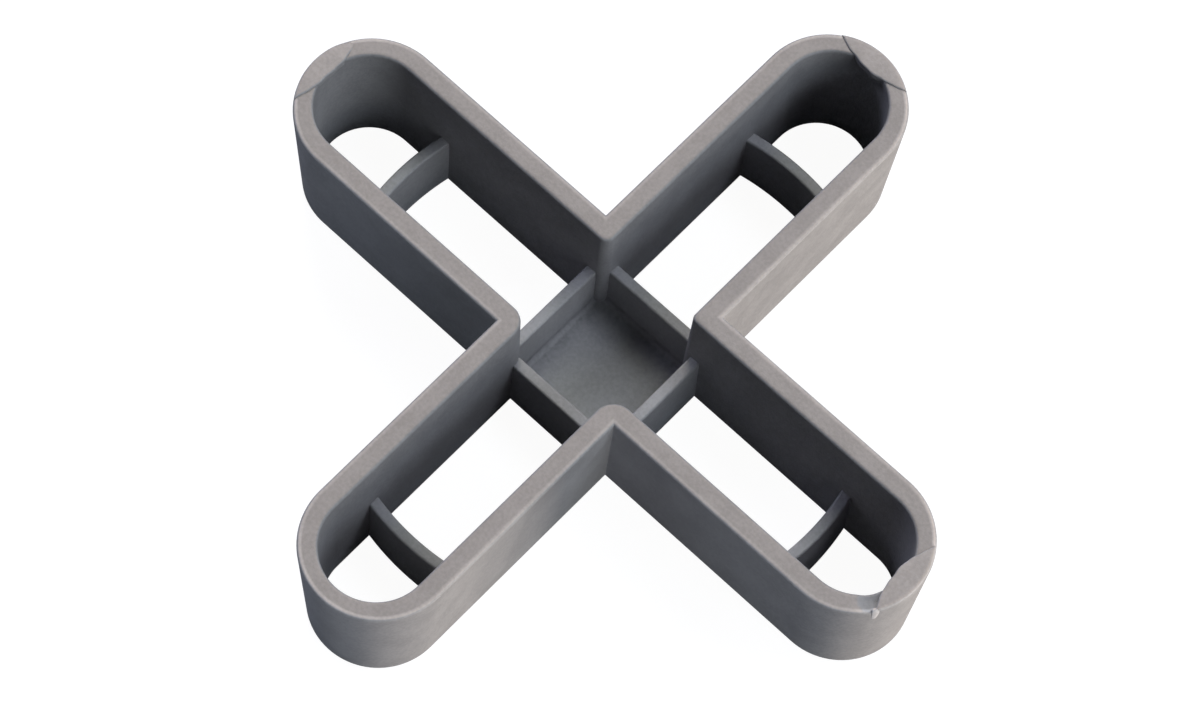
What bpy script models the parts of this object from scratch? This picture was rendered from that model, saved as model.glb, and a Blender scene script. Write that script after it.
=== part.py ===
"""Hollow cross-shaped tile spacer, moulded in one piece.

The cross lies in the XY plane with its floor web down: one arm along each of +X, +Y, -X and -Y.
The origin is at the centre of the footprint, on the surface that the spacer lies on, with +Z up.

The wall is a drafted loft of the cross outline. It is hollowed by a second drafted loft, and the ribs,
the floor web and the thin lands on the tips are what cores in that cutter leave standing.
"""
import math

import bmesh
import bpy
from mathutils import Matrix

MM = 0.001

# Driving dimensions, in metres and radians.
JOINT_WIDTH = 10.0 * MM          # width of an arm across its top, the gap it leaves between two tiles
OVERALL_LENGTH = 51.0 * MM       # tip to tip, the same along X and Y
HEIGHT = 10.5 * MM               # the wall's height, without the lands on the tips
WALL = 1.46 * MM                 # the wall along an arm's sides and round the crossing, at its top edge
TIP_WALL = 1.22 * MM             # the wall at the very end of an arm, at its top edge
OUTER_DRAFT = math.radians(2.5)  # the outer faces lean in towards the bottom
INNER_DRAFT = math.radians(1.0)  # the inner faces lean in towards the bottom too
RIB_THICKNESS = 0.78 * MM        # a rib across its top
RIB_HEIGHT = 5.2 * MM
RIB_DRAFT = math.radians(1.5)    # both faces of a rib lean out towards the bottom
FLOOR_THICKNESS = 1.1 * MM       # the web that closes the bottom of the square box at the crossing
TIP_POCKET = 6.2 * MM            # from a curved rib's top to the inner face of its tip, along the arm
LAND_RADIUS = 6.3 * MM           # the circle that bounds each thin land on a tip
LAND_RISE = 0.15 * MM            # how far a land stands above the top edge of the wall
LAND_THICKNESS = 0.6 * MM        # a land's whole thickness, where it reaches over the pocket
LAND_DEPTHS = (1.65 * MM, 1.6 * MM, 1.4 * MM)  # how far in from the tip they reach, on +X, +Y and -X

# How finely the round forms are cut into facets.
TIP_SEGMENTS = 24                # one half-round arm end
CORNER_SEGMENTS = 6              # one rounded inner corner at the crossing
RING_SEGMENTS = 96               # the whole circle that the curved ribs belong to
LAND_SEGMENTS = 96               # the whole circle that bounds one land

# Sizes that follow from the driving dimensions.
HALF_WIDTH = JOINT_WIDTH / 2
REACH = OVERALL_LENGTH / 2
LAND_TOP = HEIGHT + LAND_RISE
OVERCUT = 1.0 * MM               # how far a cutter or a core runs past the face that it makes
ARM_DIRECTIONS = [math.radians(90 * quarter) for quarter in range(4)]

GREY = (0.27, 0.265, 0.26, 1.0)


def clear_scene():
    """Remove every object that the file starts with."""
    for obj in list(bpy.data.objects):
        bpy.data.objects.remove(obj, do_unlink=True)


def new_collection(name):
    """Add a collection to the scene and return it."""
    collection = bpy.data.collections.new(name)
    bpy.context.scene.collection.children.link(collection)
    return collection


def moulded_plastic():
    """Matte grey moulded plastic."""
    material = bpy.data.materials.new("grey_plastic")
    material.use_nodes = True
    shader = material.node_tree.nodes["Principled BSDF"]
    shader.inputs["Base Color"].default_value = GREY
    shader.inputs["Metallic"].default_value = 0.0
    shader.inputs["Roughness"].default_value = 0.55
    return material


def shade_round(mesh):
    """Shade the round faces smooth and keep the real corners sharp."""
    mesh.shade_smooth()
    mesh.set_sharp_from_angle(angle=math.radians(25))


def link_cutter(obj, cutters):
    """Put an object in the cutters' collection, where it neither renders nor counts as a part."""
    for collection in list(obj.users_collection):
        collection.objects.unlink(obj)
    cutters.objects.link(obj)
    obj.hide_render = True
    obj.display_type = "WIRE"
    shade_round(obj.data)
    return obj


def subtract(target, tool):
    """Cut one object out of another."""
    cut = target.modifiers.new("cut_" + tool.name, "BOOLEAN")
    cut.operation = "DIFFERENCE"
    cut.solver = "EXACT"
    cut.object = tool


def arc(centre, radius, start, end, segments):
    """Points of an arc, both ends included."""
    angles = [start + (end - start) * step / segments for step in range(segments + 1)]
    return [(centre[0] + radius * math.cos(a), centre[1] + radius * math.sin(a)) for a in angles]


def turned(point, angle):
    """A point turned about the origin."""
    x, y = point
    return (x * math.cos(angle) - y * math.sin(angle), x * math.sin(angle) + y * math.cos(angle))


def cross_outline(half_width, reach, corner_radius):
    """Outline of a cross with full-round arm ends, counter-clockwise.

    The four corners between the arms are rounded to corner_radius, or sharp where it is zero.
    """
    tip = arc((reach - half_width, 0.0), half_width, -math.pi / 2, math.pi / 2, TIP_SEGMENTS)
    if corner_radius > 0:
        middle = half_width + corner_radius
        corner = arc((middle, middle), corner_radius, 1.5 * math.pi, math.pi, CORNER_SEGMENTS)
    else:
        corner = [(half_width, half_width)]
    return [turned(point, angle) for angle in ARM_DIRECTIONS for point in tip + corner]


def square_outline(half_width):
    """Outline of a square, counter-clockwise."""
    return [turned((half_width, half_width), angle) for angle in ARM_DIRECTIONS]


def wall_outside(z):
    """The outside of the wall at height z: drafted, so it is narrower lower down."""
    inset = (HEIGHT - z) * math.tan(OUTER_DRAFT)
    return cross_outline(HALF_WIDTH - inset, REACH - inset, 0.0)


def wall_inside(z):
    """The inside of the wall at height z. Its corners keep the wall's thickness round the crossing."""
    inset = (HEIGHT - z) * math.tan(INNER_DRAFT)
    return cross_outline(HALF_WIDTH - WALL - inset, REACH - TIP_WALL - inset, WALL + inset)


def rib_spread(z):
    """How far a drafted rib face at height z stands out from where it is at the rib's top."""
    return (RIB_HEIGHT - z) * math.tan(RIB_DRAFT)


def box_outside(z):
    """The outer faces of the square box, which meet the arms' outer faces at the bottom."""
    return square_outline(HALF_WIDTH - rib_spread(0.0) + rib_spread(z))


def box_inside(z):
    """The inner faces of the square box."""
    return square_outline(HALF_WIDTH - rib_spread(0.0) - RIB_THICKNESS - rib_spread(z))


def drafted_solid(name, outline, z_low, z_high, collection):
    """Loft between an outline at two heights and close both ends."""
    shape = bmesh.new()
    lower, upper = [[shape.verts.new((x, y, z)) for x, y in outline(z)] for z in (z_low, z_high)]
    for index in range(len(lower)):
        before = index - 1
        shape.faces.new((lower[before], lower[index], upper[index], upper[before]))
    shape.faces.new(list(reversed(lower)))
    shape.faces.new(upper)
    mesh = bpy.data.meshes.new(name)
    shape.to_mesh(mesh)
    shape.free()
    obj = bpy.data.objects.new(name, mesh)
    collection.objects.link(obj)
    return obj


def box_core(cutters):
    """The square tray that leaves the four straight ribs and the floor web inside them."""
    tray = drafted_solid("box_core", box_outside, -OVERCUT, RIB_HEIGHT, cutters)
    pocket = drafted_solid("box_pocket", box_inside, FLOOR_THICKNESS, RIB_HEIGHT + OVERCUT, cutters)
    subtract(tray, link_cutter(pocket, cutters))
    return link_cutter(tray, cutters)


def ring_core(cutters):
    """The turned ring that leaves the curved ribs: one circle about the centre crosses all four arms."""
    outer = REACH - TIP_WALL - TIP_POCKET
    inner = outer - RIB_THICKNESS
    foot = -OVERCUT
    profile = [
        (outer, RIB_HEIGHT),
        (outer + rib_spread(foot), foot),
        (inner - rib_spread(foot), foot),
        (inner, RIB_HEIGHT),
    ]
    shape = bmesh.new()
    corners = [shape.verts.new((x, 0.0, z)) for x, z in profile]
    for index in range(len(corners)):
        shape.edges.new((corners[index - 1], corners[index]))
    mesh = bpy.data.meshes.new("ring_core")
    shape.to_mesh(mesh)
    shape.free()
    ring = bpy.data.objects.new("ring_core", mesh)
    turn = ring.modifiers.new("turn", "SCREW")
    turn.steps = RING_SEGMENTS
    turn.render_steps = RING_SEGMENTS
    turn.use_merge_vertices = True
    turn.merge_threshold = 0.01 * MM
    return link_cutter(ring, cutters)


def land_cores(cutters):
    """Round discs that leave a thin land over each of three tips."""
    low = LAND_TOP - LAND_THICKNESS
    high = LAND_TOP + OVERCUT
    lands = []
    for angle, depth in zip(ARM_DIRECTIONS, LAND_DEPTHS):
        x, y = turned((REACH - depth + LAND_RADIUS, 0.0), angle)
        bpy.ops.mesh.primitive_cylinder_add(
            vertices=LAND_SEGMENTS, radius=LAND_RADIUS, depth=high - low, location=(x, y, (low + high) / 2))
        disc = bpy.context.active_object
        disc.name = f"land_core_{len(lands) + 1}"
        lands.append(link_cutter(disc, cutters))
    return lands


def top_relief(lands, cutters):
    """Everything above the wall's top edge, apart from the lands."""
    span = OVERALL_LENGTH + 4 * LAND_RADIUS
    depth = LAND_RISE + OVERCUT / 2
    bpy.ops.mesh.primitive_cube_add(size=1.0)
    relief = bpy.context.active_object
    relief.name = "top_relief"
    place = Matrix.Translation((0.0, 0.0, HEIGHT + depth / 2))
    relief.data.transform(place @ Matrix.Diagonal((span, span, depth, 1.0)))
    for disc in lands:
        subtract(relief, disc)
    return link_cutter(relief, cutters)


def cavity(lands, cutters):
    """The hollow inside the wall, less the ribs, the floor web and the lands that stay."""
    hollow = drafted_solid("cavity", wall_inside, -OVERCUT, LAND_TOP + OVERCUT / 2, cutters)
    for core in [ring_core(cutters), box_core(cutters), *lands]:
        subtract(hollow, core)
    return link_cutter(hollow, cutters)


def cross_spacer(parts, cutters):
    """The whole spacer: a drafted cross, relieved on top and hollowed out."""
    spacer = drafted_solid("cross_spacer", wall_outside, 0.0, LAND_TOP, parts)
    shade_round(spacer.data)
    spacer.data.materials.append(moulded_plastic())
    lands = land_cores(cutters)
    subtract(spacer, top_relief(lands, cutters))
    subtract(spacer, cavity(lands, cutters))


def main():
    clear_scene()
    parts = new_collection("tile_spacer")
    cutters = new_collection("cutters")
    cross_spacer(parts, cutters)


main()
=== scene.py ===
import math
from typing import NamedTuple

import bmesh
import bpy
from bpy.props import FloatProperty, FloatVectorProperty, PointerProperty
from mathutils import Euler, Matrix, Vector


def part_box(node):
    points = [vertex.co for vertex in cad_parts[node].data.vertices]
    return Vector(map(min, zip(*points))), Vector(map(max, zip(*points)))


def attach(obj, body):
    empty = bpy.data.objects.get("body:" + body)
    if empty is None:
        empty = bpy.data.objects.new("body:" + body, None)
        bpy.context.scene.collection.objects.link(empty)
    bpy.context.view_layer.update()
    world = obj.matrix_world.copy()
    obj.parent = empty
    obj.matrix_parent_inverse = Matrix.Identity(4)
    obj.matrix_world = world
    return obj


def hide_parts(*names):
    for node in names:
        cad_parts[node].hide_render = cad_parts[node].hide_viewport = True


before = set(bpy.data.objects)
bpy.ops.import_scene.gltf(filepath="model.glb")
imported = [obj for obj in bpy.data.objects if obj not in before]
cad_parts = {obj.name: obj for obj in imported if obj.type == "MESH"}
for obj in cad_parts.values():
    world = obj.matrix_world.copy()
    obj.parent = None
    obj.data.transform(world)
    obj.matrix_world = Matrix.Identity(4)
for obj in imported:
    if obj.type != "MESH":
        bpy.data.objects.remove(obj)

bl_info = {
    "name": "Moulded Tile Spacer",
    "version": (1, 0, 0),
    "blender": (4, 5, 0),
    "location": "View3D > Sidebar > Tile Spacer",
    "description": "Builds a hollow cross-shaped tile spacer in grey moulded plastic, with a small studio",
    "category": "Add Mesh",
}

MM = 0.001
CAD_NODE = "cross_spacer"
FRAME_LOW, FRAME_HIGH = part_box(CAD_NODE)
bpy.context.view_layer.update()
OVERALL_LENGTH = FRAME_HIGH[1] - FRAME_LOW[1]

ARM_COUNT = 4
TIP_STEPS = 48                    # round one half-round arm end
CORNER_STEPS = 12                 # round one inner corner at the crossing
TRAY_CORNER_STEPS = 8             # round one corner of the ribbed box
EDGE_STEPS = 4                    # round one moulded edge
RIB_ARC_STEPS = 32                # along one curved rib
LAND_STEPS = 32                   # from one horn of a land to the other
TOP_ROWS = (0.25, 0.5, 0.75)      # extra rows across the wall's top, as shares of the wall
OUTER_CORNER_RADIUS = 0.05 * MM   # the crisp corner between two arms
BOX_BURIED_CORNER = 1.7 * MM      # the box's outer corners, which lie inside the wall's own
BOX_INNER_CORNER = 0.2 * MM
RIB_FOOT = 0.03 * MM              # the ribs stop this far above the wall's foot
MERGE_DISTANCE = 0.001 * MM       # points nearer to each other than this are one
SHARP_ANGLE = math.radians(35)    # an edge that turns further than this stays crisp

# Each point of the mesh has a "pale" value: 1 is fully whitened plastic, and below 0 is painted shade.
# Along the wall's outer top edge the value is partly a painted highlight.
RIM_PALE_AND_HIGHLIGHT = 0.40               # the wall's outer top edge: partly whitened plastic, partly a painted highlight
TIP_PALE_AND_HIGHLIGHT = 0.50               # what that edge's paleness and painted highlight gain towards the very tip of an arm
LAND_PALENESS = 0.22
BURR_PALENESS = 0.9
SINK_SHADE = 0.25                  # the painted shade that darkens the middle of the sink


def length(name, description, default):
    """A size in metres, shown in the panel."""
    return FloatProperty(name=name, description=description, default=default, min=0.0,
                         precision=5, subtype="DISTANCE", unit="LENGTH")


def turn(name, description, degrees):
    """An angle, given here in degrees and kept in radians."""
    return FloatProperty(name=name, description=description, default=math.radians(degrees),
                         subtype="ANGLE", unit="ROTATION")


def colour(name, description, default):
    """A linear RGB colour."""
    return FloatVectorProperty(name=name, description=description, default=default,
                               size=3, min=0.0, max=1.0, subtype="COLOR")


def factor(name, description, default):
    """A plain number."""
    return FloatProperty(name=name, description=description, default=default, min=0.0)


class SpacerSizes(bpy.types.PropertyGroup):
    """The spacer's sizes."""

    joint_width: length("Joint width", "Width of an arm across its top", 10.0 * MM)
    overall_length: length("Overall length", "From tip to tip", OVERALL_LENGTH)
    height: length("Height", "Height of the wall", 10.5 * MM)
    wall: length("Wall", "Wall along the arms, at the top edge", 1.46 * MM)
    tip_wall: length("Tip wall", "Wall at the end of an arm, at the top edge", 1.22 * MM)
    outer_draft: turn("Outer draft", "How far the outer faces lean in towards the bottom", 2.5)
    inner_draft: turn("Inner draft", "How far the inner faces lean in towards the bottom", 1.0)
    outer_edge: length("Outer edge", "Rounding of the wall's outer top edge", 0.22 * MM)
    inner_edge: length("Inner edge", "Rounding of the wall's inner top edge", 0.24 * MM)
    foot_edge: length("Foot edge", "Rounding of both edges of the wall's foot", 0.12 * MM)
    corner_px_py: length("Corner +X +Y", "Inner corner between those two arms", 0.45 * MM)
    corner_nx_py: length("Corner -X +Y", "Inner corner between those two arms", 0.62 * MM)
    corner_nx_ny: length("Corner -X -Y", "Inner corner between those two arms", 1.25 * MM)
    corner_px_ny: length("Corner +X -Y", "Inner corner between those two arms", 1.46 * MM)
    rib_thickness: length("Rib thickness", "A rib across its top", 0.78 * MM)
    rib_height: length("Rib height", "Height of every rib", 5.2 * MM)
    rib_draft: turn("Rib draft", "How far both faces of a rib lean out towards the bottom", 1.5)
    rib_edge: length("Rib edge", "Rounding of a rib's top edges", 0.16 * MM)
    floor_thickness: length("Floor thickness", "The web at the bottom of the box", 1.1 * MM)
    floor_fillet: length("Floor fillet", "Rounding at the foot of the box's ribs", 0.4 * MM)
    tip_pocket: length("Tip pocket", "From a curved rib to the inner face of its tip", 6.2 * MM)
    land_rise: length("Land rise", "How far a land stands above the wall", 0.15 * MM)
    land_thickness: length("Land thickness", "A land where it reaches over the pocket", 0.6 * MM)


class SpacerFinish(bpy.types.PropertyGroup):
    """The look of the moulded plastic."""

    light_grey: colour("Light grey", "The lighter tone in the mottling", (0.277, 0.275, 0.288))
    dark_grey: colour("Dark grey", "The darker tone in the mottling", (0.224, 0.222, 0.233))
    # Painted light: the wall's top that looks up is drawn lighter and warmer, as the warm lamps would light
    # it.
    painted_light: colour("Rubbed", "Multiplies the colour on the wall's rubbed top", (1.0, 0.905, 0.83))
    painted_light_gain: factor("Rubbed gain", "How much lighter the wall's rubbed top is", 0.105)
    specular: factor("Specular", "Strength of the plastic's mirror-like reflections", 0.4)
    smooth_roughness: factor("Smooth roughness", "Roughness where the surface is smoothest", 0.48)
    rough_roughness: factor("Rough roughness", "Roughness where the surface is roughest", 0.66)
    cloud_scale: factor("Cloud scale", "Broad mottling, waves per metre", 480.0)
    speckle_scale: factor("Speckle scale", "Fine speckle, waves per metre", 4200.0)
    grain_scale: factor("Grain scale", "Finest grain, waves per metre", 9000.0)
    blotch_scale: factor("Blotch scale", "Blotches along the box's foot, waves per metre", 1700.0)
    swell: length("Swell", "Height of the broad unevenness of the surface", 0.012 * MM)
    grain: length("Grain", "Height of the fine grain", 0.006 * MM)
    # It also scales the painted highlight along the wall's outer top edge and the painted shade in the
    # sink.
    pale: factor("Pale", "How much lighter the stretched, whitened plastic is", 0.8)
    # Darkens the box's foot: blotchy dirt, and painted shade in the crease.
    foot_dirt_and_shade: factor("Foot dirt", "How much darker the blotches along the box's foot are", 0.3)


class SpacerStudio(bpy.types.PropertyGroup):
    """The camera, the lights and the floor."""

    azimuth: turn("Azimuth", "Camera direction round the spacer", 36.29)
    elevation: turn("Elevation", "Camera height above the horizon", 67.91)
    roll: turn("Roll", "Camera turned about its own axis", 7.34)
    distance: length("Distance", "From the aim point to the camera", 281.5 * MM)
    aim: FloatVectorProperty(name="Aim", description="Where the camera looks", subtype="TRANSLATION",
                             unit="LENGTH", default=(0.18 * MM, -0.72 * MM, 5.25 * MM))
    focal_length: factor("Focal length", "In millimetres, on a 36 mm sensor", 134.2)
    lamp_power: factor("Lamp power", "Share of full strength that every lamp has", 1.0)
    sky_power: factor("Sky power", "Strength of the soft surrounding light", 0.0045)
    sky_colour: colour("Sky colour", "Colour of the soft surrounding light", (0.18, 0.36, 1.0))
    floor_colour: colour("Floor colour", "What the floor throws back of the light", (0.123, 0.130, 0.150))
    glow_colour: colour("Glow colour", "What the floor adds for the camera alone", (1.0, 0.998, 0.994))
    glow_strength: factor("Glow strength", "Strength of what the floor adds", 0.955)


def sizes():
    """The sizes set in the scene."""
    return bpy.context.scene.spacer_sizes


class Nodes:
    """A node tree with a few short ways to add nodes to it."""

    def __init__(self, tree):
        self.tree = tree

    def feed(self, socket, value):
        """Link a socket to an input, or set its value."""
        if isinstance(value, bpy.types.NodeSocket):
            self.tree.links.new(value, socket)
        else:
            socket.default_value = value

    def node(self, kind, inputs=None, **settings):
        """Add a node, set its properties and feed its inputs by name or number."""
        node = self.tree.nodes.new(kind)
        for key, value in settings.items():
            setattr(node, key, value)
        for key, value in (inputs or {}).items():
            self.feed(node.inputs[key], value)
        return node

    def math(self, operation, *values):
        """A maths node's result."""
        node = self.node("ShaderNodeMath", dict(enumerate(values)), operation=operation)
        return node.outputs[0]

    def add(self, a, b):
        return self.math("ADD", a, b)

    def sub(self, a, b):
        return self.math("SUBTRACT", a, b)

    def mul(self, a, b):
        return self.math("MULTIPLY", a, b)

    def div(self, a, b):
        return self.math("DIVIDE", a, b)


class ShapeNodes(Nodes):
    """A geometry node tree that makes one piece."""

    def __init__(self, name):
        super().__init__(bpy.data.node_groups.new(name, "GeometryNodeTree"))
        self.name = name
        self.tree.interface.new_socket("Geometry", in_out="OUTPUT", socket_type="NodeSocketGeometry")
        self.inputs = self.tree.nodes.new("NodeGroupInput")
        self.outputs = self.tree.nodes.new("NodeGroupOutput")
        self.values = {}

    def size(self, name, value):
        """Add a named input for a size and return its socket."""
        socket = self.tree.interface.new_socket(name, in_out="INPUT", socket_type="NodeSocketFloat")
        socket.default_value = value
        self.values[socket.identifier] = value
        return self.inputs.outputs[name]

    def material(self, value):
        """Add the named input for the material."""
        socket = self.tree.interface.new_socket(
            "Material", in_out="INPUT", socket_type="NodeSocketMaterial")
        self.values[socket.identifier] = value
        return self.inputs.outputs["Material"]

    def vector(self, x=0.0, y=0.0, z=0.0):
        """A vector from three numbers or sockets."""
        return self.node("ShaderNodeCombineXYZ", {0: x, 1: y, 2: z}).outputs[0]

    def finish(self, geometry, material):
        """End the tree as every tree here ends: real geometry, with its material set."""
        real = self.node("GeometryNodeRealizeInstances", {"Geometry": geometry}).outputs[0]
        painted = self.node("GeometryNodeSetMaterial", {"Geometry": real, "Material": material}).outputs[0]
        self.feed(self.outputs.inputs[0], painted)

    def build(self):
        """Run the tree on an empty object and return the result as a plain mesh object."""
        holder = bpy.data.objects.new(self.name, bpy.data.meshes.new(self.name))
        bpy.context.scene.collection.objects.link(holder)
        modifier = holder.modifiers.new(self.name, "NODES")
        modifier.node_group = self.tree
        for identifier, value in self.values.items():
            modifier[identifier] = value
        bpy.context.view_layer.update()
        evaluated = holder.evaluated_get(bpy.context.evaluated_depsgraph_get())
        mesh = bpy.data.meshes.new_from_object(evaluated)
        mesh.name = self.name
        holder.modifiers.remove(modifier)
        blank = holder.data
        holder.data = mesh
        bpy.data.meshes.remove(blank)
        return holder


def choose(nodes, index, values, kind):
    """One of several values, picked by a whole-number field."""
    switch = nodes.node("GeometryNodeIndexSwitch", data_type=kind)
    while len(switch.index_switch_items) < len(values):
        switch.index_switch_items.new()
    nodes.feed(switch.inputs["Index"], index)
    for number, value in enumerate(values):
        nodes.feed(switch.inputs[number + 1], value)
    return switch.outputs[0]


def section_curve(nodes, corners):
    """A closed section through (offset, height, edge radius) corners, with its edges rounded.

    The curve lies flat: its X is the offset and its Y the height. A rounded corner becomes EDGE_STEPS + 1
    points. Returns the curve and how many points it has.
    """
    index = nodes.node("GeometryNodeInputIndex").outputs[0]
    places = [nodes.vector(offset, height) for offset, height, radius in corners]
    radii = [radius for offset, height, radius in corners]
    ring = nodes.node("GeometryNodeMeshCircle", {"Vertices": len(corners)})
    placed = nodes.node("GeometryNodeSetPosition", {
        "Geometry": ring.outputs[0], "Position": choose(nodes, index, places, "VECTOR")})
    curve = nodes.node("GeometryNodeMeshToCurve", {"Mesh": placed.outputs[0]})
    rounded = nodes.node("GeometryNodeFilletCurve", {
        "Curve": curve.outputs[0], "Count": EDGE_STEPS, "Limit Radius": True,
        "Radius": choose(nodes, index, radii, "FLOAT")}, mode="POLY")
    size = nodes.node("GeometryNodeAttributeDomainSize", {"Geometry": rounded.outputs[0]},
                      component="CURVE")
    return rounded.outputs[0], size.outputs["Point Count"]


def section_fields(nodes, section, point_count):
    """For a grid's point: its steps round the outline and the section, its offset and its height."""
    index = nodes.node("GeometryNodeInputIndex").outputs[0]
    column = nodes.add(point_count, 1)
    around = nodes.math("FLOOR", nodes.div(index, column))
    along = nodes.math("MODULO", nodes.sub(index, nodes.mul(around, column)), point_count)
    position = nodes.node("GeometryNodeInputPosition").outputs[0]
    sample = nodes.node("GeometryNodeSampleIndex", {
        "Geometry": section, "Value": position, "Index": along}, data_type="FLOAT_VECTOR", domain="POINT")
    parts = nodes.node("ShaderNodeSeparateXYZ", {0: sample.outputs[0]})
    return around, along, parts.outputs[0], parts.outputs[1]


def lofted(nodes, outline_points, section_points, place, pale=0.0):
    """A closed surface: a grid with every vertex put in place, its seams and poles merged.

    The pale field, which on the wall holds the painted highlight along its outer top edge, is kept with the
    points, for the plastic's colour.
    """
    grid = nodes.node("GeometryNodeMeshGrid", {
        "Size X": 1.0, "Size Y": 1.0, "Vertices X": outline_points + 1,
        "Vertices Y": nodes.add(section_points, 1)})
    placed = nodes.node("GeometryNodeSetPosition", {"Geometry": grid.outputs[0], "Position": place})
    marked = nodes.node("GeometryNodeStoreNamedAttribute", {
        "Geometry": placed.outputs[0], "Name": "pale", "Value": pale}, data_type="FLOAT", domain="POINT")
    merged = nodes.node("GeometryNodeMergeByDistance", {
        "Geometry": marked.outputs[0], "Distance": MERGE_DISTANCE})
    # Where the section runs along the axis, its faces close up and leave an edge without any.
    face_count = nodes.node("GeometryNodeInputMeshEdgeNeighbors").outputs["Face Count"]
    bare = nodes.math("LESS_THAN", face_count, 0.5)
    cleaned = nodes.node("GeometryNodeDeleteGeometry", {
        "Geometry": merged.outputs[0], "Selection": bare}, domain="EDGE", mode="EDGE_FACE")
    return cleaned.outputs[0]


def turned_by_quarter(nodes, x, y, z, quarter):
    """A point turned about Z by a number of quarter turns."""
    angle = nodes.mul(quarter, math.pi / 2)
    spun = nodes.node("ShaderNodeVectorRotate", {"Vector": nodes.vector(x, y, z), "Angle": angle},
                      rotation_type="Z_AXIS")
    return spun.outputs[0]


def quarter_and_step(nodes, around, steps):
    """Which quarter of the outline a step lies in, and its number within that quarter."""
    quarter = nodes.math("FLOOR", nodes.div(nodes.add(around, 0.5), steps))
    return quarter, nodes.sub(around, nodes.mul(quarter, steps))


def wall_tree(material):
    """The continuous wall: its section carried round a cross with full-round arm ends."""
    size = sizes()
    nodes = ShapeNodes("spacer_wall")
    half_width = nodes.div(nodes.size("Joint Width", size.joint_width), 2)
    reach = nodes.div(nodes.size("Overall Length", size.overall_length), 2)
    height = nodes.size("Height", size.height)
    wall = nodes.size("Wall", size.wall)
    tip_wall = nodes.size("Tip Wall", size.tip_wall)
    outer_lean = nodes.mul(height, math.tan(size.outer_draft))
    inner_lean = nodes.mul(height, math.tan(size.inner_draft))
    outer_edge = nodes.size("Outer Edge", size.outer_edge)
    inner_edge = nodes.size("Inner Edge", size.inner_edge)
    foot_edge = nodes.size("Foot Edge", size.foot_edge)
    corners = [nodes.size(name, value) for name, value in (
        ("Corner +X +Y", size.corner_px_py), ("Corner -X +Y", size.corner_nx_py),
        ("Corner -X -Y", size.corner_nx_ny), ("Corner +X -Y", size.corner_px_ny))]
    surface = nodes.material(material)

    section, section_points = section_curve(nodes, [
        (outer_lean, 0.0, foot_edge),
        (0.0, height, outer_edge),
        *((nodes.mul(wall, share), height, 0.0) for share in TOP_ROWS),
        (wall, height, inner_edge),
        (nodes.add(wall, inner_lean), 0.0, foot_edge),
    ])
    around, along, inset, z = section_fields(nodes, section, section_points)
    quarter_steps = TIP_STEPS + 1 + CORNER_STEPS + 1
    quarter, step = quarter_and_step(nodes, around, quarter_steps)

    # How far a point of the section lies from the outer face towards the cavity, from 0 to 1 and beyond.
    depth = nodes.math("MAXIMUM", nodes.div(nodes.sub(inset, outer_lean), nodes.sub(wall, outer_lean)), 0.0)
    half = nodes.sub(half_width, inset)
    tip_inset = nodes.sub(inset, nodes.mul(nodes.sub(wall, tip_wall), nodes.math("MINIMUM", depth, 1.0)))
    tip_reach = nodes.sub(reach, tip_inset)
    inner_corner = choose(nodes, quarter, corners, "FLOAT")
    corner_radius = nodes.math("MAXIMUM", nodes.mul(depth, inner_corner), OUTER_CORNER_RADIUS)

    tip_angle = nodes.mul(nodes.sub(nodes.div(step, TIP_STEPS), 0.5), math.pi)
    tip_x = nodes.add(nodes.sub(tip_reach, half), nodes.mul(half, nodes.math("COSINE", tip_angle)))
    tip_y = nodes.mul(half, nodes.math("SINE", tip_angle))
    corner_step = nodes.div(nodes.sub(step, TIP_STEPS + 1), CORNER_STEPS)
    corner_angle = nodes.mul(nodes.sub(1.5, nodes.mul(corner_step, 0.5)), math.pi)
    middle = nodes.add(half, corner_radius)
    corner_x = nodes.add(middle, nodes.mul(corner_radius, nodes.math("COSINE", corner_angle)))
    corner_y = nodes.add(middle, nodes.mul(corner_radius, nodes.math("SINE", corner_angle)))

    in_corner = nodes.math("GREATER_THAN", step, TIP_STEPS + 0.5)
    x = nodes.add(tip_x, nodes.mul(in_corner, nodes.sub(corner_x, tip_x)))
    y = nodes.add(tip_y, nodes.mul(in_corner, nodes.sub(corner_y, tip_y)))
    place = turned_by_quarter(nodes, x, y, z, quarter)
    # The outer top edge is the section's second corner. The last two points of its rounding are pale:
    # partly whitened plastic, partly a painted highlight.
    last_point = 2 * EDGE_STEPS + 1
    rim = nodes.math("COMPARE", along, last_point - 0.5, 0.6)
    tip_share = nodes.mul(nodes.sub(1.0, in_corner), nodes.math("COSINE", tip_angle))
    pale = nodes.mul(rim, nodes.add(RIM_PALE_AND_HIGHLIGHT, nodes.mul(tip_share, TIP_PALE_AND_HIGHLIGHT)))
    nodes.finish(lofted(nodes, ARM_COUNT * quarter_steps, section_points, place, pale), surface)
    return nodes


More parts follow.
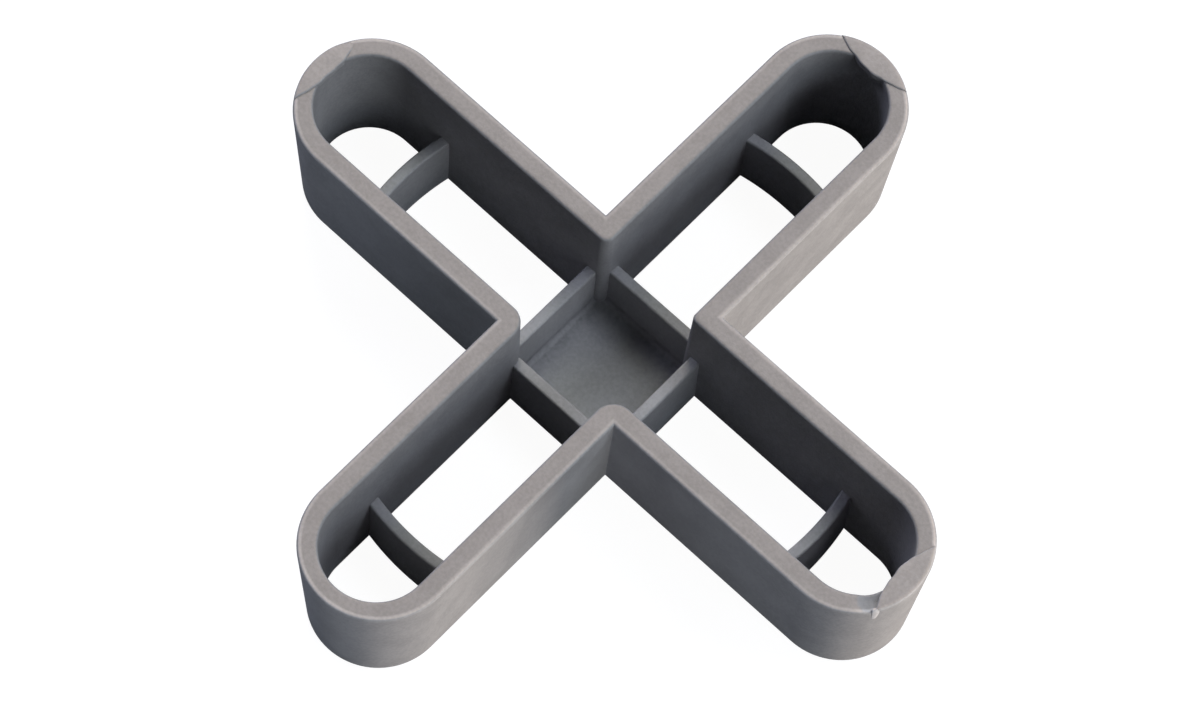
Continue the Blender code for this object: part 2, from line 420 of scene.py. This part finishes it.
def tray_tree(material):
    """The square box at the crossing: four straight ribs and the floor web inside them, as one tray."""
    size = sizes()
    nodes = ShapeNodes("spacer_box")
    half_width = nodes.div(nodes.size("Joint Width", size.joint_width), 2)
    thickness = nodes.size("Rib Thickness", size.rib_thickness)
    height = nodes.size("Rib Height", size.rib_height)
    lean = nodes.mul(height, math.tan(size.rib_draft))
    floor = nodes.size("Floor Thickness", size.floor_thickness)
    edge = nodes.size("Edge Radius", size.rib_edge)
    fillet = nodes.size("Floor Fillet", size.floor_fillet)
    buried_corner = nodes.size("Buried Corner", BOX_BURIED_CORNER)
    inner_corner = nodes.size("Inner Corner", BOX_INNER_CORNER)
    surface = nodes.material(material)

    outer_top = nodes.sub(half_width, lean)
    inner_top = nodes.sub(outer_top, thickness)
    inner_foot = nodes.sub(inner_top, nodes.mul(nodes.sub(height, floor), math.tan(size.rib_draft)))
    section, section_points = section_curve(nodes, [
        (0.0, RIB_FOOT, 0.0),
        (half_width, RIB_FOOT, edge),
        (outer_top, height, edge),
        (inner_top, height, edge),
        (inner_foot, floor, fillet),
        (0.0, floor, 0.0),
    ])
    around, _, half, z = section_fields(nodes, section, section_points)
    quarter_steps = TRAY_CORNER_STEPS + 1
    quarter, step = quarter_and_step(nodes, around, quarter_steps)

    # The outer corners are buried in the wall's own corners, and are rounded to stay inside them.
    beyond_top = nodes.div(nodes.sub(half, inner_top), nodes.sub(half_width, inner_top))
    share = nodes.math("MAXIMUM", beyond_top, 0.0)
    grown = nodes.add(inner_corner, nodes.mul(share, nodes.sub(buried_corner, inner_corner)))
    radius = nodes.math("MINIMUM", grown, half)
    middle = nodes.sub(half, radius)
    angle = nodes.mul(nodes.div(step, TRAY_CORNER_STEPS), math.pi / 2)
    x = nodes.add(middle, nodes.mul(radius, nodes.math("COSINE", angle)))
    y = nodes.add(middle, nodes.mul(radius, nodes.math("SINE", angle)))
    place = turned_by_quarter(nodes, x, y, z, quarter)
    nodes.finish(lofted(nodes, ARM_COUNT * quarter_steps, section_points, place), surface)
    return nodes


def curved_rib_tree(material):
    """One curved rib across each arm: arcs of one circle about the spacer's centre."""
    size = sizes()
    nodes = ShapeNodes("spacer_curved_ribs")
    reach = nodes.div(nodes.size("Overall Length", size.overall_length), 2)
    tip_wall = nodes.size("Tip Wall", size.tip_wall)
    pocket = nodes.size("Tip Pocket", size.tip_pocket)
    thickness = nodes.size("Rib Thickness", size.rib_thickness)
    height = nodes.size("Rib Height", size.rib_height)
    lean = nodes.mul(height, math.tan(size.rib_draft))
    edge = nodes.size("Edge Radius", size.rib_edge)
    # Each end stops in the middle of the wall that it joins.
    half_span = nodes.size("Half Span", size.joint_width / 2 - size.wall / 2)
    surface = nodes.material(material)

    half = nodes.div(thickness, 2)
    foot = nodes.add(half, lean)
    section, section_points = section_curve(nodes, [
        (nodes.mul(foot, -1.0), RIB_FOOT, edge),
        (foot, RIB_FOOT, edge),
        (half, height, edge),
        (nodes.mul(half, -1.0), height, edge),
    ])
    radius = nodes.sub(nodes.sub(nodes.sub(reach, tip_wall), pocket), half)
    half_angle = nodes.math("ARCSINE", nodes.div(half_span, radius))
    path = nodes.node("GeometryNodeCurveArc", {
        "Resolution": RIB_ARC_STEPS, "Radius": radius, "Start Angle": nodes.mul(half_angle, -1.0),
        "Sweep Angle": nodes.mul(half_angle, 2.0)}, mode="RADIUS")
    level = nodes.node("GeometryNodeSetCurveNormal", {"Curve": path.outputs[0]}, mode="Z_UP")
    # A level curve carries its section upside down, and half a turn of tilt sets it upright.
    upright = nodes.node("GeometryNodeSetCurveTilt", {"Curve": level.outputs[0], "Tilt": math.pi})
    rib = nodes.node("GeometryNodeCurveToMesh", {
        "Curve": upright.outputs[0], "Profile Curve": section, "Fill Caps": True})
    centres = nodes.node("GeometryNodeMeshLine", {"Count": ARM_COUNT, "Offset": (0.0, 0.0, 0.0)})
    index = nodes.node("GeometryNodeInputIndex").outputs[0]
    turned = nodes.vector(z=nodes.mul(index, math.pi / 2))
    ribs = nodes.node("GeometryNodeInstanceOnPoints", {
        "Points": centres.outputs[0], "Instance": rib.outputs[0], "Rotation": turned})
    nodes.finish(ribs.outputs[0], surface)
    return nodes


PLASTIC_NAME = "grey_moulded_plastic"
TONE_RANGE = (0.32, 0.68)     # where the mottling's noise goes from the dark tone to the light one
TOP_LIGHT_DEPTH = (0.5, 0.1)     # where the painted top light starts and is full, in outer edge roundings below the top
TOP_LIGHT_SLOPE = (0.75, 0.97)   # and the same for the Z of a face's normal, which is 1 where it looks up
BLOTCH_RANGE = (0.50, 0.62)   # where the blotches' noise goes from clear to dirty
CREASE_SHADE_SHARE = 0.55              # the share of the darkening that also lies between the blotches: painted shade along the crease


def moulded_plastic():
    """Grey moulded plastic: mottling, speckle and grain, painted light on the wall's top, pale edges with a
    painted highlight, and blotchy dirt with painted shade along the box's foot.
    """
    finish = bpy.context.scene.spacer_finish
    size = sizes()
    material = bpy.data.materials.new(PLASTIC_NAME)
    material.use_nodes = True
    nodes = Nodes(material.node_tree)
    shader = material.node_tree.nodes["Principled BSDF"]
    nodes.feed(shader.inputs["Specular IOR Level"], finish.specular)
    coordinates = nodes.node("ShaderNodeTexCoord").outputs
    place = coordinates["Object"]
    axes = nodes.node("ShaderNodeSeparateXYZ", {0: place}).outputs
    facing_up = nodes.node("ShaderNodeSeparateXYZ", {0: coordinates["Normal"]}).outputs["Z"]

    def noise(scale, detail):
        texture = nodes.node("ShaderNodeTexNoise", {"Vector": place, "Scale": scale, "Detail": detail})
        return texture.outputs[0]

    def fade(value, start, end):
        """0 up to the start and 1 from the end on; the other way round where the end is the smaller."""
        return nodes.node("ShaderNodeMapRange", {"Value": value, "From Min": start, "From Max": end},
                          interpolation_type="SMOOTHSTEP").outputs[0]

    cloud = noise(finish.cloud_scale, 3.0)
    speckle = noise(finish.speckle_scale, 2.0)
    grain = noise(finish.grain_scale, 1.0)

    tone_share = fade(nodes.add(nodes.mul(cloud, 0.5), nodes.mul(speckle, 0.5)), *TONE_RANGE)
    tone = nodes.node("ShaderNodeMix", {
        "Factor": tone_share, "A": (*finish.dark_grey, 1.0), "B": (*finish.light_grey, 1.0)},
        data_type="RGBA")
    # Painted light on the wall's top: near the top edge, faces that look up get lighter and warmer.
    top_light_start, top_light_full = (size.height - share * size.outer_edge for share in TOP_LIGHT_DEPTH)
    painted_light = nodes.mul(fade(axes["Z"], top_light_start, top_light_full), fade(facing_up, *TOP_LIGHT_SLOPE))
    # The pale field: whitened plastic, a painted highlight along the wall's outer top edge, and painted
    # shade in the sink below 0.
    pale = nodes.node("ShaderNodeAttribute", attribute_name="pale").outputs["Fac"]

    # Blotchy dirt, and painted shade in the crease, lie along the foot of the box's ribs, on the fillet and
    # some way out over the floor web.
    fillet = size.floor_fillet
    across = nodes.math("MAXIMUM", nodes.math("ABSOLUTE", axes["X"]), nodes.math("ABSOLUTE", axes["Y"]))
    rib_face = size.joint_width / 2 - size.rib_thickness
    low_down = fade(axes["Z"], size.floor_thickness + 2 * fillet, size.floor_thickness + fillet)
    near_ribs = fade(across, rib_face - 4 * fillet, rib_face - fillet)
    inside_ribs = fade(across, rib_face, rib_face - 0.5 * fillet)
    blotch = fade(noise(finish.blotch_scale, 2.0), *BLOTCH_RANGE)
    blotches = nodes.add(CREASE_SHADE_SHARE, nodes.mul(blotch, 1 - CREASE_SHADE_SHARE))
    dirt_and_shade = nodes.mul(nodes.mul(nodes.mul(low_down, near_ribs), inside_ribs), blotches)

    brightness = nodes.add(1.0, nodes.mul(pale, finish.pale))
    brightness = nodes.add(brightness, nodes.mul(painted_light, finish.painted_light_gain))
    brightness = nodes.sub(brightness, nodes.mul(dirt_and_shade, finish.foot_dirt_and_shade))
    tint = nodes.node("ShaderNodeMix", {
        "Factor": painted_light, "A": (1.0, 1.0, 1.0, 1.0), "B": (*finish.painted_light, 1.0)}, data_type="RGBA")
    tinted = nodes.node("ShaderNodeVectorMath", {0: tone.outputs["Result"], 1: tint.outputs["Result"]},
                        operation="MULTIPLY")
    shaded = nodes.node("ShaderNodeVectorMath", {0: tinted.outputs[0], "Scale": brightness},
                        operation="SCALE")
    nodes.feed(shader.inputs["Base Color"], shaded.outputs[0])

    spread = finish.rough_roughness - finish.smooth_roughness
    nodes.feed(shader.inputs["Roughness"], nodes.add(finish.smooth_roughness, nodes.mul(cloud, spread)))
    relief = nodes.add(nodes.mul(cloud, finish.swell), nodes.mul(grain, finish.grain))
    relief = nodes.add(relief, nodes.mul(speckle, finish.grain))
    bump = nodes.node("ShaderNodeBump", {"Height": relief, "Distance": 1.0, "Strength": 1.0})
    nodes.feed(shader.inputs["Normal"], bump.outputs[0])
    return material


def plastic():
    """The spacer's one material, made once."""
    return bpy.data.materials.get(PLASTIC_NAME) or moulded_plastic()


def piece(name):
    """A piece made by an earlier operator."""
    found = bpy.data.objects.get(name)
    if found is None:
        raise RuntimeError(f"{name} has to be built first")
    return found


class Land(NamedTuple):
    """How one land lies on its arm's round end: a lens between the end's edge and a larger circle."""

    arm: float         # the arm's direction, in degrees
    depth: float       # how far the lens reaches in from the tip
    radius: float      # the larger circle
    shift: float       # how far that circle lies to the arm's left
    horn_drop: float   # the share of its rise that the land loses towards its horns
    fade: float        # where, to the arm's right, the land starts to sink; 0 for nowhere


LANDS = {
    "land_px": Land(0.0, 1.70 * MM, 5.8 * MM, 0.15 * MM, 0.45, 0.0),
    "land_py": Land(90.0, 1.58 * MM, 6.3 * MM, -0.15 * MM, 0.85, 0.0),
    "land_nx": Land(180.0, 1.46 * MM, 10.0 * MM, 0.0, 0.60, 1.2 * MM),
}
LAND_RIM = 0.13 * MM          # how far down the rounding of a land's upper edge goes
LAND_OUTER_RIM = 0.28 * MM    # how wide that rounding is along the outer edge
LAND_INNER_RIM = 0.14 * MM    # and along the inner edge
LAND_SIDE_INSET = 0.05 * MM   # from the wall's outer face to the land's side
FLASH = 0.035 * MM            # height of the waves in a land's uneven inner edge
BROAD_WAVE = 7.0              # how far the broad waves run from a land's middle to its horn, in radians
FINE_WAVE = 17.0              # and the fine waves between them
FINE_WAVE_SHARE = 0.6         # height of the fine waves beside the broad ones
FADE_LENGTH = 1.6 * MM        # over which a land sinks into the wall
FADE_BELOW = 0.15             # how far it ends below the wall's top, as a share of its rise


def tip_middle():
    """How far the middle of an arm's round end lies from the spacer's centre."""
    return sizes().overall_length / 2 - sizes().joint_width / 2


def lens(spec, share):
    """The lens's two edges as matching rows of points, from one horn to the other.

    Both rows share their first and last point. The share of the rims' widths moves both edges inwards.
    The arm's direction also shifts the waves of the inner edge, so that no two lands are alike.
    """
    size = sizes()
    tip_radius = size.joint_width / 2 - LAND_SIDE_INSET - LAND_OUTER_RIM * share
    radius = spec.radius - LAND_INNER_RIM * share
    middle = Vector((size.overall_length / 2 - spec.depth + spec.radius - tip_middle(), spec.shift))
    gap = middle.length
    lean = math.atan2(middle.y, middle.x)
    tip_half = math.acos((gap ** 2 + tip_radius ** 2 - radius ** 2) / (2 * gap * tip_radius))
    land_half = math.acos((gap ** 2 + radius ** 2 - tip_radius ** 2) / (2 * gap * radius))
    outer, inner = [], []
    for step in range(LAND_STEPS + 1):
        side = 2 * step / LAND_STEPS - 1
        angle = lean + tip_half * side
        outer.append((tip_middle() + tip_radius * math.cos(angle), tip_radius * math.sin(angle)))
        angle = lean + math.pi - land_half * side
        waves = math.sin(BROAD_WAVE * side + spec.arm)
        waves += FINE_WAVE_SHARE * math.sin(FINE_WAVE * side + 2.0 * spec.arm)
        uneven = radius + FLASH * waves * (1 - side ** 2)
        inner.append((tip_middle() + middle.x + uneven * math.cos(angle),
                      middle.y + uneven * math.sin(angle)))
    inner[0], inner[-1] = outer[0], outer[-1]
    return outer, inner


def land_rise(spec, across):
    """How far a land stands above the wall, at a place across its arm."""
    size = sizes()
    rise = size.land_rise * (1 - spec.horn_drop * (2 * across / size.joint_width) ** 2)
    if not spec.fade:
        return rise
    share = min(max((across + spec.fade + FADE_LENGTH) / FADE_LENGTH, 0.0), 1.0)
    return rise * (share * share * (3 - 2 * share) * (1 + FADE_BELOW) - FADE_BELOW)


def skin(shape, rings):
    """Join rings of points, one to the next, with four-sided faces."""
    for low, high in zip(rings, rings[1:]):
        for i in range(len(low)):
            j = (i + 1) % len(low)
            shape.faces.new((low[i], low[j], high[j], high[i]))


def land(name, spec):
    """One thin land, slightly raised, with a soft upper rim and an uneven inner edge."""
    size = sizes()
    shape = bmesh.new()

    def ring(share, drop, flat=False):
        """The lens's edge, this far below the land's top or below a flat top at its full rise."""
        outer, inner = lens(spec, share)
        points = outer + inner[-2:0:-1]
        rises = [size.land_rise if flat else land_rise(spec, y) for x, y in points]
        return [shape.verts.new((x, y, size.height + rise - drop)) for (x, y), rise in zip(points, rises)]

    angles = [math.pi / 2 * step / EDGE_STEPS for step in range(EDGE_STEPS + 1)]
    rings = [ring(0.0, size.land_thickness, flat=True)]
    rings += [ring(1 - math.cos(angle), LAND_RIM * (1 - math.sin(angle))) for angle in angles]
    skin(shape, rings)
    for cap in (rings[0], rings[-1]):
        outer = cap[:LAND_STEPS + 1]
        inner = [cap[0]] + cap[:LAND_STEPS:-1] + [cap[LAND_STEPS]]
        for i in range(LAND_STEPS):
            # At a horn the two edges share a point, which counts once.
            corners = (outer[i], outer[i + 1], inner[i + 1], inner[i])
            shape.faces.new(dict.fromkeys(corners))
    bmesh.ops.recalc_face_normals(shape, faces=shape.faces)
    shape.transform(Matrix.Rotation(math.radians(spec.arm), 4, "Z"))
    return add_mesh(name, shape, LAND_PALENESS)


class BurrSection(NamedTuple):
    """One section of the burr, from the land's end down the outer face."""

    out: float         # how far it stands beyond the tip's radius
    above: float       # and above the wall's top edge
    width: float
    thickness: float


BURR = (
    BurrSection(-0.24 * MM, 0.07 * MM, 0.34 * MM, 0.12 * MM),
    BurrSection(-0.12 * MM, 0.10 * MM, 0.44 * MM, 0.18 * MM),
    BurrSection(-0.02 * MM, 0.03 * MM, 0.50 * MM, 0.22 * MM),
    BurrSection(0.03 * MM, -0.14 * MM, 0.52 * MM, 0.24 * MM),
    BurrSection(0.03 * MM, -0.44 * MM, 0.50 * MM, 0.24 * MM),
    BurrSection(0.01 * MM, -0.76 * MM, 0.45 * MM, 0.22 * MM),
    BurrSection(-0.01 * MM, -1.06 * MM, 0.39 * MM, 0.20 * MM),
    BurrSection(-0.03 * MM, -1.34 * MM, 0.31 * MM, 0.18 * MM),
    BurrSection(-0.10 * MM, -1.58 * MM, 0.18 * MM, 0.12 * MM),
)
# Round one section: across it and into it, as shares of its width and its thickness.
BURR_PROFILE = ((-0.5, 1.0), (-0.5, 0.4), (-0.42, 0.12), (-0.22, 0.0),
                (0.22, 0.0), (0.42, 0.12), (0.5, 0.4), (0.5, 1.0))
BURR_ANGLE = math.radians(-33.8)   # where it hangs on the round end of the arm along +X
SINK_PLACE = Vector((3.447 * MM, -2.40 * MM))   # from the middle of that round end
SINK_RADIUS = 1.2 * MM
SINK_DEPTH = 0.28 * MM


def burr():
    """The scrap of flash that hangs from one end of a land, over the outer face."""
    size = sizes()
    shape = bmesh.new()
    outward = Vector((math.cos(BURR_ANGLE), math.sin(BURR_ANGLE), 0.0))
    sideways = Vector((-math.sin(BURR_ANGLE), math.cos(BURR_ANGLE), 0.0))
    start = Vector((tip_middle(), 0.0, size.height)) + outward * size.joint_width / 2
    spine = [start + outward * part.out + Vector((0.0, 0.0, part.above)) for part in BURR]
    rings = []
    for number, part in enumerate(BURR):
        run = spine[min(number + 1, len(spine) - 1)] - spine[max(number - 1, 0)]
        inward = sideways.cross(run).normalized()
        ring = []
        for side, depth in BURR_PROFILE:
            point = spine[number] + sideways * side * part.width + inward * depth * part.thickness
            ring.append(shape.verts.new(point))
        rings.append(ring)
    skin(shape, rings)
    shape.faces.new(rings[0])
    shape.faces.new(rings[-1])
    bmesh.ops.recalc_face_normals(shape, faces=shape.faces)
    return add_mesh("burr", shape, BURR_PALENESS)


def sink(mesh):
    """The shallow sink in the wall's top beside the burr, darkened with painted shade. The land there keeps
    its level.
    """
    size = sizes()
    lowest = size.height - size.inner_edge
    highest = size.height + MERGE_DISTANCE
    centre = Vector((tip_middle(), 0.0)) + SINK_PLACE
    pale = mesh.attributes["pale"].data
    for vertex in mesh.vertices:
        away = (vertex.co.xy - centre).length / SINK_RADIUS
        if away < 1.0 and lowest < vertex.co.z < highest:
            fall = (1 - away * away) ** 2
            vertex.co.z -= SINK_DEPTH * fall
            # Painted shade: the sink's middle is drawn darker.
            pale[vertex.index].value -= SINK_SHADE * fall


def add_mesh(name, shape, pale):
    """Make a plastic object from a bmesh, and free the bmesh."""
    mesh = bpy.data.meshes.new(name)
    shape.to_mesh(mesh)
    shape.free()
    mesh.attributes.new("pale", "FLOAT", "POINT").data.foreach_set("value", [pale] * len(mesh.vertices))
    mesh.materials.append(plastic())
    obj = bpy.data.objects.new(name, mesh)
    bpy.context.scene.collection.objects.link(obj)
    return obj


class SPACER_OT_wall(bpy.types.Operator):
    """Build the continuous outer wall of the cross"""

    bl_idname = "spacer.wall"
    bl_label = "Wall"

    def execute(self, context):
        wall_tree(plastic()).build()
        return {"FINISHED"}


class SPACER_OT_box(bpy.types.Operator):
    """Build the ribbed box and its floor web at the crossing"""

    bl_idname = "spacer.box"
    bl_label = "Ribbed Box"

    def execute(self, context):
        tray_tree(plastic()).build()
        return {"FINISHED"}


class SPACER_OT_curved_ribs(bpy.types.Operator):
    """Build the curved rib across each arm"""

    bl_idname = "spacer.curved_ribs"
    bl_label = "Curved Ribs"

    def execute(self, context):
        curved_rib_tree(plastic()).build()
        return {"FINISHED"}


class SPACER_OT_lands(bpy.types.Operator):
    """Build the thin raised lands on three of the tips, and the burr on one of them"""

    bl_idname = "spacer.lands"
    bl_label = "Lands"

    def execute(self, context):
        for name, spec in LANDS.items():
            land(name, spec)
        burr()
        return {"FINISHED"}


class SPACER_OT_mould(bpy.types.Operator):
    """Join the wall, ribs, box and lands into the one moulded piece"""

    bl_idname = "spacer.mould"
    bl_label = "Mould In One"

    def execute(self, context):
        body = piece("spacer_wall")
        tools = [piece(name) for name in ("spacer_box", "spacer_curved_ribs", *LANDS, "burr")]
        for tool in tools:
            join = body.modifiers.new("join_" + tool.name, "BOOLEAN")
            join.operation = "UNION"
            join.solver = "MANIFOLD"
            join.object = tool
        context.view_layer.update()
        mesh = bpy.data.meshes.new_from_object(body.evaluated_get(context.evaluated_depsgraph_get()))
        body.modifiers.clear()
        body.data = mesh
        for tool in tools:
            bpy.data.objects.remove(tool, do_unlink=True)
        sink(mesh)
        mesh.shade_smooth()
        mesh.set_sharp_from_angle(angle=SHARP_ANGLE)
        weigh = body.modifiers.new("even_shading", "WEIGHTED_NORMAL")
        weigh.keep_sharp = True
        weigh.weight = 100
        body.name = "moulded_spacer"
        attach(body, "root")
        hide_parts(CAD_NODE)
        return {"FINISHED"}


def camera_matrix(studio):
    """The camera's place and direction from its azimuth, elevation, roll and distance."""
    turned = Euler((math.pi / 2 - studio.elevation, 0.0, studio.azimuth)).to_matrix()
    rolled = turned @ Matrix.Rotation(studio.roll, 3, "Z")
    location = Vector(studio.aim) + turned @ Vector((0.0, 0.0, studio.distance))
    return Matrix.Translation(location) @ rolled.to_4x4()


class Lamp(NamedTuple):
    """One soft lamp, far away, aimed at the spacer."""

    azimuth: float      # in degrees round the spacer; 0 is in front, at -Y, and 90 is at +X
    elevation: float    # in degrees above the floor
    strength: float     # 1 lights a face that it meets squarely as brightly as its colour is written
    tint: tuple


class Strip(NamedTuple):
    """One low strip of light, no higher than the spacer: light that comes off the table."""

    azimuth: float
    strength: float
    tint: tuple


LAMP_SPREAD = math.radians(24)   # how wide a lamp looks from the spacer
LAMPS = {
    "right": Lamp(90, 12, 0.250, (0.90, 0.92, 0.89)),
    "high_right": Lamp(90, 35, 0.301, (0.74, 0.82, 0.89)),
    "high_back_right": Lamp(135, 58, 0.275, (0.75, 0.80, 0.89)),
    "high_back": Lamp(180, 58, 0.247, (0.78, 0.83, 0.89)),
    "high_back_left": Lamp(225, 58, 0.166, (0.94, 0.96, 0.64)),
    "back_left": Lamp(225, 35, 0.470, (0.99, 0.91, 0.89)),
    "high_left": Lamp(270, 35, 0.352, (0.66, 0.69, 0.89)),
}
STRIPS = {
    "table_right": Strip(112, 1.07, (1.0, 0.865, 0.72)),
    "table_front_right": Strip(68, 0.136, (1.0, 0.94, 0.82)),
    "table_front": Strip(22, 0.132, (0.67, 0.74, 0.89)),
    "table_front_left": Strip(338, 0.108, (0.74, 0.835, 0.89)),
}
STRIP_WIDTH = 80 * MM
STRIP_DISTANCE = 220 * MM
FLOOR_SIZE = 4.0   # in metres


def add_light(name, data, strength, tint):
    """Add a light, with its strength and colour, and return its object."""
    data.energy = strength
    data.color = tint
    light = bpy.data.objects.new(name, data)
    bpy.context.scene.collection.objects.link(light)
    return light


def add_lamp(name, spec, power):
    """Add one lamp as a sun as wide as a softbox looks."""
    data = bpy.data.lights.new(name, "SUN")
    data.angle = LAMP_SPREAD
    light = add_light(name, data, math.pi * spec.strength * power, spec.tint)
    light.rotation_euler = (math.radians(90 - spec.elevation), 0.0, math.radians(spec.azimuth))


def add_strip(name, spec, power):
    """Add one strip as an area light that stands on the floor and faces the spacer."""
    height = sizes().height
    data = bpy.data.lights.new(name, "AREA")
    data.shape = "RECTANGLE"
    data.size = STRIP_WIDTH
    data.size_y = height
    # The watts that light a face at the spacer as a sun of the same strength would.
    light = add_light(name, data, math.pi ** 2 * STRIP_DISTANCE ** 2 * spec.strength * power, spec.tint)
    angle = math.radians(spec.azimuth)
    light.location = (STRIP_DISTANCE * math.sin(angle), -STRIP_DISTANCE * math.cos(angle), height / 2)
    light.rotation_euler = (math.pi / 2, 0.0, angle)
    light.visible_camera = False


def seen_otherwise(nodes, usual, seen):
    """A shader that the light meets as one thing and the camera sees as another."""
    camera_ray = nodes.node("ShaderNodeLightPath").outputs["Is Camera Ray"]
    return nodes.node("ShaderNodeMixShader", {0: camera_ray, 1: usual, 2: seen}).outputs[0]


def floor_material(studio):
    """A floor that the camera sees as white, and that throws little light back up at the spacer."""
    material = bpy.data.materials.new("studio_floor")
    material.use_nodes = True
    nodes = Nodes(material.node_tree)
    nodes.tree.nodes.remove(nodes.tree.nodes["Principled BSDF"])
    shade = nodes.node("ShaderNodeBsdfDiffuse", {"Color": (*studio.floor_colour, 1.0)}).outputs[0]
    glow = nodes.node("ShaderNodeEmission", {
        "Color": (*studio.glow_colour, 1.0), "Strength": studio.glow_strength}).outputs[0]
    total = nodes.node("ShaderNodeAddShader", {0: shade, 1: glow}).outputs[0]
    output = nodes.tree.nodes["Material Output"]
    nodes.feed(output.inputs["Surface"], seen_otherwise(nodes, shade, total))
    return material


def studio_world(studio):
    """Soft surrounding light, a little blue, that the camera sees as white."""
    world = bpy.data.worlds.new("studio_world")
    world.use_nodes = True
    nodes = Nodes(world.node_tree)
    sky = nodes.tree.nodes["Background"]
    nodes.feed(sky.inputs["Color"], (*studio.sky_colour, 1.0))
    nodes.feed(sky.inputs["Strength"], studio.sky_power)
    white = nodes.node("ShaderNodeBackground", {"Color": (1.0, 1.0, 1.0, 1.0)})
    output = nodes.tree.nodes["World Output"]
    nodes.feed(output.inputs["Surface"], seen_otherwise(nodes, sky.outputs[0], white.outputs[0]))
    bpy.context.scene.world = world


class SPACER_OT_studio(bpy.types.Operator):
    """Set up the floor, the lights and the camera"""

    bl_idname = "spacer.studio"
    bl_label = "Studio"

    def execute(self, context):
        studio = context.scene.spacer_studio
        bpy.ops.mesh.primitive_plane_add(size=FLOOR_SIZE)
        ground = context.active_object
        ground.name = "studio_floor"
        ground.data.materials.append(floor_material(studio))
        studio_world(studio)

        for name, spec in LAMPS.items():
            add_lamp(name, spec, studio.lamp_power)
        for name, spec in STRIPS.items():
            add_strip(name, spec, studio.lamp_power)

        data = bpy.data.cameras.new("camera")
        data.sensor_width = 36.0
        data.lens = studio.focal_length
        data.clip_start = 0.01
        camera = bpy.data.objects.new("camera", data)
        context.scene.collection.objects.link(camera)
        camera.matrix_world = camera_matrix(studio)
        context.scene.camera = camera
        context.scene.view_settings.view_transform = "Standard"
        return {"FINISHED"}


class SPACER_PT_panel(bpy.types.Panel):
    """The spacer's operators and settings"""

    bl_idname = "SPACER_PT_panel"
    bl_label = "Tile Spacer"
    bl_space_type = "VIEW_3D"
    bl_region_type = "UI"
    bl_category = "Tile Spacer"

    def draw(self, context):
        layout = self.layout
        for operator in OPERATORS:
            layout.operator(operator.bl_idname)
        for group in (context.scene.spacer_sizes, context.scene.spacer_finish, context.scene.spacer_studio):
            column = layout.column(align=True)
            for name in group.bl_rna.properties.keys():
                if name not in ("rna_type", "name"):
                    column.prop(group, name)


OPERATORS = (
    SPACER_OT_wall,
    SPACER_OT_box,
    SPACER_OT_curved_ribs,
    SPACER_OT_lands,
    SPACER_OT_mould,
    SPACER_OT_studio,
)
CLASSES = (SpacerSizes, SpacerFinish, SpacerStudio, *OPERATORS, SPACER_PT_panel)


def register():
    for item in CLASSES:
        bpy.utils.register_class(item)
    bpy.types.Scene.spacer_sizes = PointerProperty(type=SpacerSizes)
    bpy.types.Scene.spacer_finish = PointerProperty(type=SpacerFinish)
    bpy.types.Scene.spacer_studio = PointerProperty(type=SpacerStudio)


def unregister():
    del bpy.types.Scene.spacer_studio
    del bpy.types.Scene.spacer_finish
    del bpy.types.Scene.spacer_sizes
    for item in reversed(CLASSES):
        bpy.utils.unregister_class(item)


def main():
    """Build the spacer and its studio."""
    register()
    bpy.ops.spacer.wall()
    bpy.ops.spacer.box()
    bpy.ops.spacer.curved_ribs()
    bpy.ops.spacer.lands()
    bpy.ops.spacer.mould()
    bpy.ops.spacer.studio()


if __name__ == "__main__":
    main()
